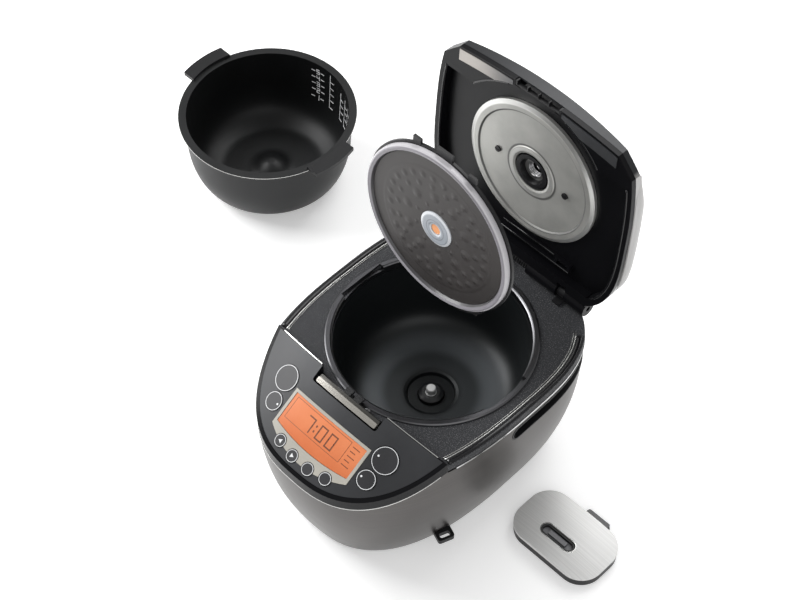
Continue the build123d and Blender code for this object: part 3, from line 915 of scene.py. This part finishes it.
# Inner lid disc: a pressed skin with rings of round bumps and a stepped border
disc = {
    "from": 21.0,
    "to": 86.8,
    "rings": 60,
    "around": 300,
    "face": 181.4,
    "sunk": 0.2,
    "border": 72.5,
    "step": 1.5,
    "field": 0.45,
    "edge": 0.15,
    "crease": math.radians(40),
}
bumpRings = [
    {"at": 28, "count": 9, "wide": 3.2, "tall": 0.45, "turn": 0},
    {"at": 40.5, "count": 10, "wide": 7.4, "tall": 0.7, "turn": 10},
    {"at": 53, "count": 18, "wide": 4.6, "tall": 0.55, "turn": 0},
    {"at": 64, "count": 28, "wide": 5.2, "tall": 0.6, "turn": 5},
]
bumps = []
for look in bumpRings:
    for k in range(look["count"]):
        a = math.radians(look["turn"] + 360 * k / look["count"])
        bumps.append((look["at"] * math.cos(a), look["at"] * math.sin(a), look["wide"], look["tall"]))


def discRise(x, y, r):
    past = (r - disc["border"]) / disc["step"]
    slope = math.sin(max(-1.0, min(1.0, past)) * math.pi / 2)
    rise = (disc["field"] + disc["edge"]) / 2 - (disc["field"] - disc["edge"]) / 2 * slope
    for bumpX, bumpY, wide, tall in bumps:
        d = math.hypot(x - bumpX, y - bumpY) / wide
        if d < 1:
            rise += tall * (1 - d * d) ** 2
    return rise


trim = Trim()
rows, around = disc["rings"], disc["around"]
for r in spread(disc["from"], disc["to"], rows):
    trim.points += [innerSpot(x, y, disc["face"] - discRise(x, y, r)) for x, y in circle(r, around)]
for r in (disc["from"], disc["to"]):
    trim.points += [innerSpot(x, y, disc["face"] + disc["sunk"]) for x, y in circle(r, around)]
skin = [(n, n + 1) for n in range(rows)]
under = [(rows + 1, 0), (rows, rows + 2), (rows + 2, rows + 1)]  # inner wall, outer wall, back
for k in range(around):
    m = (k + 1) % around
    for here, there in skin + under:
        trim.faces.append([here * around + k, here * around + m, there * around + m, there * around + k])
made = trim.done("pressed_disc", "inner_lid", paints["inner_disc"])
made.data.shade_smooth()
made.data.set_sharp_from_angle(angle=disc["crease"])
print("stage: panel marks and inner lid disc")

# Pot: painted highlight, a thin bright silver line under the rim
potSize = {"x": -418, "y": 144, "rim": 107.95, "wall": [(30, 92.4), (58, 97.4), (102.3, 98.6)]}
potRimHighlight = {"low": 101.15, "high": 101.75, "proud": 0.15, "count": 180}


def potSpot(turn, r, z):
    a = math.radians(turn)
    return Vector((potSize["x"] + r * math.cos(a), potSize["y"] + r * math.sin(a), z)) / 1000


def rimSpot(turn, z, h):
    return potSpot(turn, potSize["rim"] + h, z)


trim = Trim(rimSpot, 0, potRimHighlight["proud"])
turns = [360 * k / potRimHighlight["count"] for k in range(potRimHighlight["count"])]
trim.band([(turn, potRimHighlight["low"]) for turn in turns], [(turn, potRimHighlight["high"]) for turn in turns])
trim.done("pot_line", "pot", silverInk)

# Level marks inside the pot's far wall: a numbered ladder, then plain combs
levels = {
    "low": -0.05,
    "high": 0.12,
    "middle": 80,
    "reach": 97,
    "step": 10.6,
    "ladder": {"turn": 96, "count": 5, "foot": 33.0, "line": 1.1, "ticks": (-13.5, 0.6), "long": 4.5},
    "numbers": {"x": -4.2, "size": (4.0, 6.6)},
    "combs": {"foot": 36.0, "stem": 0.8, "line": 0.9, "long": 6.0},
    "combTurns": ((86, 5), (72, 4), (64, 4), (56, 4)),
}


# Upright drawing on the wall: sideways millimetres, and millimetres down from the middle
def wallSpot(turn):
    def spot(u, v, h):
        z = levels["middle"] - v
        for (z0, r0), (z1, r1) in zip(potSize["wall"], potSize["wall"][1:]):
            if z <= z1:
                break
        r = r0 + (r1 - r0) * (z - z0) / (z1 - z0) - h
        return potSpot(turn - math.degrees(u / levels["reach"]), r, z)

    return spot


ladder, numbers, combs = levels["ladder"], levels["numbers"], levels["combs"]
trim = Trim(wallSpot(ladder["turn"]), levels["low"], levels["high"])
for k in range(ladder["count"]):
    v = ladder["foot"] - levels["step"] * k
    for u in ladder["ticks"]:
        trim.stroke((u, v), (u + ladder["long"], v), ladder["line"])
    trim.digit(k + 1, numbers["x"], v, numbers["size"], ladder["line"])
for turn, count in levels["combTurns"]:
    trim.on(wallSpot(turn), levels["low"], levels["high"])
    trim.stroke((0, combs["foot"]), (0, combs["foot"] - levels["step"] * count), combs["stem"])
    for k in range(count):
        v = combs["foot"] - levels["step"] * k
        trim.stroke((0, v), (combs["long"], v), combs["line"])
trim.done("pot_levels", "pot", whiteInk)
print("stage: pot marks")

# Satin bar along the curved front of the lid, either side of the latch window
lidBar = {
    "low": 183.3,
    "high": 184.05,
    "from": 32,
    "to": 104,
    "steps": 22,
    "inset": 3.0,
    "wide": 14.0,
    "least": 0.5,
    "arcY": 633,
    "arc": 745.6,
    "well": 108.4,
}
# Painted reflection: bright champagne at the bar's left, fading to dark grey at its right
barLook = {
    "left": (0.46, 0.43, 0.40),
    "right": (0.085, 0.088, 0.094),
    "haze": (0.10, 0.10, 0.10),
    "rough": 0.3,
    "metal": 0.6,
    "cloud": 30,
    "grain": 1600,
    "depth": 0.00003,
    "rightAt": (-0.095, -0.020),
}


def barPaint():
    paint = Paint("lid_bar")
    x, y, z = paint.axes()
    cloud = paint.noise(barLook["cloud"], 3)
    grain = paint.noise(barLook["grain"], 2)
    # Painted reflection: the tone fades from left to right across the bar
    tone = paint.blend(x.rise(*barLook["rightAt"]), barLook["left"], barLook["right"])
    paint.feed({
        "Base Color": paint.blend(cloud * 0.25, tone, barLook["haze"]),
        "Metallic": barLook["metal"],
        "Roughness": cloud * 0.1 + barLook["rough"] + grain * 0.05,
    })
    paint.bump(grain, barLook["depth"], 0.5)
    return paint


trim = Trim(lidSpot, lidBar["low"], lidBar["high"])
for side in (-1, 1):
    inner, outer = [], []
    for x in spread(lidBar["from"], lidBar["to"], lidBar["steps"]):
        front = lidBar["arcY"] - math.sqrt(lidBar["arc"] ** 2 - x**2) + lidBar["inset"]
        well = -math.sqrt(lidBar["well"] ** 2 - x**2)
        outer.append((side * x, front))
        inner.append((side * x, max(min(well, front + lidBar["wide"]), front + lidBar["least"])))
    trim.band(inner, outer, False)
trim.done("lid_bar", "lid", barPaint())

# Body outline seen from above: sideways reach at a place y, inset from the wall
bodySize = {"half": 134.0, "front": (204.0, 0.8), "back": (148.0, 0.625), "steps": 60}  # reach and power


def wallReach(y, inset):
    reach, power = bodySize["front"] if y < 0 else bodySize["back"]
    s = min(1.0, abs(y) / (reach - inset)) ** (1 / power)
    return (bodySize["half"] - inset) * math.sqrt(1 - s * s) ** power


def sideLine(side, start, end, inset):
    return [(side * wallReach(y, inset), y) for y in spread(start, end, bodySize["steps"])]


# Deck edge: a glossy black roll with two bright lines inside it
deckEdge = {
    "from": -101,
    "to": 110,
    "low": 179.8,
    "roll": {"inset": 4.2, "wide": 6.0, "high": 181.5},
    "lines": ({"inset": 8.4, "wide": 1.5, "high": 180.8}, {"inset": 10.6, "wide": 0.8, "high": 180.8}),
}
glossBlack = plastic("gloss_black", {"tone": (0.006, 0.006, 0.007), "rough": 0.16, "dust": 0.01})


def deckTrim(name, looks, ink):
    trim = Trim()
    for side in (-1, 1):
        for look in looks:
            trim.on(straight, deckEdge["low"], look["high"])
            trim.roll(sideLine(side, deckEdge["from"], deckEdge["to"], look["inset"]), look["wide"])
    trim.done(name, "base", ink).data.shade_smooth()


deckTrim("deck_roll", [deckEdge["roll"]], glossBlack)
deckTrim("deck_lines", deckEdge["lines"], silverInk)

# Painted highlight: a thin bright silver strip along the lower edge of the glossy band, between the front of
# the deck moulding and the steel, a set depth below the panel
seamHighlight = {"low": -0.3, "high": 0.25, "depth": 11.0, "tall": 0.7, "from": -152, "to": -28, "steps": 90}


def seamSpot(t, h, out):
    reach, power = bodySize["front"]
    c, s = math.cos(t), math.sin(t)
    x = (bodySize["half"] + out) * math.copysign(abs(c) ** power, c)
    y = -(reach + out) * abs(s) ** power
    along = x / (1 + h / panel["barrel"])
    cosA = math.sqrt(1 - (along / panel["barrel"]) ** 2)
    lift = cosA * h - panel["barrel"] * (1 - cosA)
    down = (y - panel["crest"].y - outward.y * lift) / downhill.y
    return Vector((x, y, panel["crest"].z + downhill.z * down + outward.z * lift)) / 1000


trim = Trim(seamSpot, seamHighlight["low"], seamHighlight["high"])
turns = [math.radians(turn) for turn in spread(seamHighlight["from"], seamHighlight["to"], seamHighlight["steps"])]
trim.band([(t, -seamHighlight["depth"]) for t in turns], [(t, seamHighlight["tall"] - seamHighlight["depth"]) for t in turns], False)
trim.done("seam_line", "base", silverInk)

# Lid tray: rounded glossy lips along its edges, round its well and on its two ribs
trayLip = {
    "low": 184.4,
    "high": 183.2,
    "wide": 2.6,
    "side": {"from": -70.0, "to": 110.0, "inset": 9.4},
    "well": {"r": 108.2, "from": -40, "to": -70, "steps": 30},
    "ribs": ({"from": -73, "to": 65, "y": 102.5, "z": 188.4}, {"from": -29, "to": 43, "y": 93.0, "z": 190.0}),
    "rib": {"wide": 2.4, "sunk": 0.3, "proud": 0.5},
}
trim = Trim(lidSpot, trayLip["low"], trayLip["high"])
edge, well, rib = trayLip["side"], trayLip["well"], trayLip["rib"]
for side in (-1, 1):
    trim.roll(sideLine(side, edge["from"], edge["to"], edge["inset"]), trayLip["wide"])
    turns = [math.radians(turn) for turn in spread(well["from"], well["to"], well["steps"])]
    trim.roll([(side * well["r"] * math.cos(a), well["r"] * math.sin(a)) for a in turns], trayLip["wide"])
for look in trayLip["ribs"]:
    trim.on(lidSpot, look["z"] + rib["sunk"], look["z"] - rib["proud"])
    trim.roll([(look["from"], look["y"]), (look["to"], look["y"])], rib["wide"])
trim.done("tray_lip", "lid", glossBlack).data.shade_smooth()

# Silver moulding on each flank of the lid, which dies away towards both ends
flank = {
    "from": -84,
    "to": 96,
    "steps": 60,
    "fadeIn": 45,
    "fadeOut": 30,
    "z": 197.2,
    "wide": 13.0,
    "thin": 0.3,
    "low": -0.6,
    "high": 3.0,
    "inset": 3.0,
    "sunk": 0.5,
}


def flankSpot(side):
    def spot(z, y, out):
        fade = min(1.0, (y - flank["from"]) / flank["fadeIn"], (flank["to"] - y) / flank["fadeOut"])
        fade = fade * fade * (3 - 2 * fade)
        x = wallReach(y, flank["inset"]) - flank["sunk"] + (out + flank["sunk"]) * fade
        share = flank["thin"] + (1 - flank["thin"]) * fade
        return lidSpot(side * x, y, flank["z"] + (z - flank["z"]) * share)

    return spot


trim = Trim()
for side in (-1, 1):
    trim.on(flankSpot(side), flank["low"], flank["high"])
    line = [(flank["z"], y) for y in spread(flank["from"], flank["to"], flank["steps"])]
    trim.roll(line, flank["wide"])
trim.done("lid_flanks", "lid", paints["lid_grey"]).data.shade_smooth()

# Steam vent, seen from under the lid: a short coil in its throat, then a black floor with a round hole
vent = {
    "hole": 7.2,
    "floor": 15.9,
    "low": 203.0,
    "high": 204.0,
    "turns": ((9.2, 195.4), (8.7, 197.2), (8.2, 199.0)),
    "wire": 1.7,
    "tall": 1.4,
}
trim = Trim(lidSpot, vent["low"], vent["high"])
trim.band(circle(vent["hole"]), circle(vent["floor"]))
trim.done("vent_floor", "lid", paints["lid_black"])
trim = Trim()
for r, z in vent["turns"]:
    trim.on(lidSpot, z + vent["tall"], z)
    trim.roll(circle(r) + circle(r)[:1], vent["wire"])
trim.done("vent_coil", "lid", paints["spring_steel"]).data.shade_smooth()

# Coiled springs, drawn at rest, in place of the CAD springs, which are hidden
springShape = {"aroundTurn": 24, "aroundWire": 8}
springs = [
    {
        "name": "sensor_coil",
        "node": "sensor_spring",
        "joint": "sensor_press",
        "keep": 0.72,
        "radius": 8.2,
        "wire": 0.6,
        "turns": 4.0,
        "pitch": 4.0,
        "foot": Vector((0, 0, 48.9)),
        "up": Vector((0, 0, 1)),
    },
    {
        "name": "lever_coil",
        "node": "lever_spring",
        "joint": "lever_press",
        "keep": 0.74,
        "radius": 1.8,
        "wire": 0.3,
        "turns": 3.5,
        "pitch": 1.5,
        "foot": panel["crest"] + downhill * 9.6 - outward * 16.1 + Vector((20, 0, 0)),
        "up": outward,
    },
]
for look in springs:
    trim = Trim()
    foot, up, wire = look["foot"], look["up"], look["wire"]
    across = Vector((1, 0, 0))
    aside = up.cross(across)
    aroundTurn, ring = springShape["aroundTurn"], springShape["aroundWire"]
    steps = int(look["turns"] * aroundTurn)
    for k in range(steps + 1):
        t = 2 * math.pi * k / aroundTurn
        reach = across * math.cos(t) + aside * math.sin(t)
        middle = foot + reach * look["radius"] + up * (look["pitch"] * k / aroundTurn)
        trim.points += [(middle + reach * a + up * b) / 1000 for a, b in circle(wire, ring)]
    for k in range(steps):
        for n in range(ring):
            m = (n + 1) % ring
            trim.faces.append([k * ring + n, (k + 1) * ring + n, (k + 1) * ring + m, k * ring + m])
    trim.faces.append(list(range(ring)))
    trim.faces.append([steps * ring + n for n in reversed(range(ring))])
    made = trim.done(look["name"], "base", paints["spring_steel"])
    made.data.shade_smooth()
    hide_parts(look["node"])
    tuple((foot - up * wire) / 1000)
    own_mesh(made)

# Pull tab at the back of the steam cap
capTab = {
    "x": 211,
    "y": 42.2,
    "long": 30,
    "deep": 10.0,
    "corner": 2.0,
    "cornerSteps": 6,
    "low": 2.0,
    "high": 10.0,
}
outline = []
for turn, signX, signY in ((0, 1, 1), (90, -1, 1), (180, -1, -1), (270, 1, -1)):
    for step in spread(0, 90, capTab["cornerSteps"]):
        a = math.radians(turn + step)
        x = capTab["x"] + signX * (capTab["long"] / 2 - capTab["corner"]) + capTab["corner"] * math.cos(a)
        y = capTab["y"] + signY * (capTab["deep"] / 2 - capTab["corner"]) + capTab["corner"] * math.sin(a)
        outline.append((x, y))
trim = Trim(straight, capTab["low"], capTab["high"])
trim.prism(outline)
trim.done("cap_tab", "steam_cap", glossBlack)

# Bright lip round the slot in the domed top of the steam cap
capTop = {"x": 200, "y": 3, "top": 16.5, "dome": 480}
slotLip = {
    "x": -2,
    "y": -10,
    "run": 15,
    "r": 7.5,
    "from": -0.1,
    "to": 0.7,
    "low": -0.1,
    "high": 0.18,
    "count": 48,
}


def crownSpot(u, v, h):
    z = capTop["top"] - capTop["dome"] + math.sqrt(capTop["dome"] ** 2 - u * u - v * v)
    return Vector((capTop["x"] + u, capTop["y"] + v, z + h)) / 1000


def slotLine(grow):
    line = []
    for k in range(slotLip["count"]):
        a = 2 * math.pi * (k + 0.5) / slotLip["count"]
        u = math.copysign(slotLip["run"], math.cos(a)) + (slotLip["r"] + grow) * math.cos(a)
        line.append((slotLip["x"] + u, slotLip["y"] + (slotLip["r"] + grow) * math.sin(a)))
    return line


trim = Trim(crownSpot, slotLip["low"], slotLip["high"])
trim.band(slotLine(slotLip["from"]), slotLine(slotLip["to"]))
trim.done("slot_lip", "steam_cap", silverInk)
print("stage: trims, mouldings and springs")


def aimed(thing, spot, aim):
    thing.location = spot
    thing.rotation_euler = (Vector(aim) - Vector(spot)).to_track_quat("-Z", "Y").to_euler()
    scene.collection.objects.link(thing)


# Camera at the photo's viewing angle
view = {
    "spot": (0.8169, -0.8648, 1.7762),
    "aim": (-0.0749, 0.0271, 0.150),
    "lens": 85.5,
    "sensor": 36,
    "far": 50,
}
camera = bpy.data.objects.new("camera", bpy.data.cameras.new("camera"))
camera.data.lens = view["lens"]
camera.data.sensor_width = view["sensor"]
camera.data.clip_end = view["far"]
aimed(camera, view["spot"], view["aim"])
scene.camera = camera

# Studio: pale floor, large soft lamps, plain surroundings
floorLook = {
    "half": 7.0,
    "z": -0.0005,
    "tone": (0.93, 0.93, 0.93),
    "haze": (0.9, 0.9, 0.9),
    "cloud": 3,
    "rough": 0.6,
    "light": (1, 1, 1),
    "glow": 0.34,
}
half = floorLook["half"]
corners = [(-half, -half, 0), (half, -half, 0), (half, half, 0), (-half, half, 0)]
floorMesh = bpy.data.meshes.new("floor")
floorMesh.from_pydata(corners, [], [(0, 1, 2, 3)])
floor = bpy.data.objects.new("floor", floorMesh)
floor.location.z = floorLook["z"]
paint = Paint("floor")
cloud = paint.noise(floorLook["cloud"], 3)
paint.feed({
    "Base Color": paint.blend(cloud * 0.04, floorLook["tone"], floorLook["haze"]),
    "Roughness": floorLook["rough"],
    "Emission Color": floorLook["light"],
    "Emission Strength": floorLook["glow"],
})
floorMesh.materials.append(paint.material)
scene.collection.objects.link(floor)

lamps = [
    {"name": "key", "spot": (-1.8, -0.6, 1.5), "size": 1.3, "power": 52},
    {"name": "fill", "spot": (1.9, -1.0, 1.5), "size": 2.0, "power": 14},
    {"name": "back", "spot": (-0.5, 1.9, 2.3), "size": 1.8, "power": 40},
]
lampAim = (0, 0, 0.1)
for lamp in lamps:
    light = bpy.data.lights.new(lamp["name"], "AREA")
    light.shape = "SQUARE"
    light.size = lamp["size"]
    light.energy = lamp["power"]
    aimed(bpy.data.objects.new(lamp["name"], light), lamp["spot"], lampAim)

surround = {"tone": (1, 1, 1, 1), "strength": 0.4}
world = bpy.data.worlds.new("studio")
world.use_nodes = True
background = world.node_tree.nodes["Background"]
background.inputs["Color"].default_value = surround["tone"]
background.inputs["Strength"].default_value = surround["strength"]
scene.world = world
scene.view_settings.view_transform = "Standard"
print("stage: studio and camera")
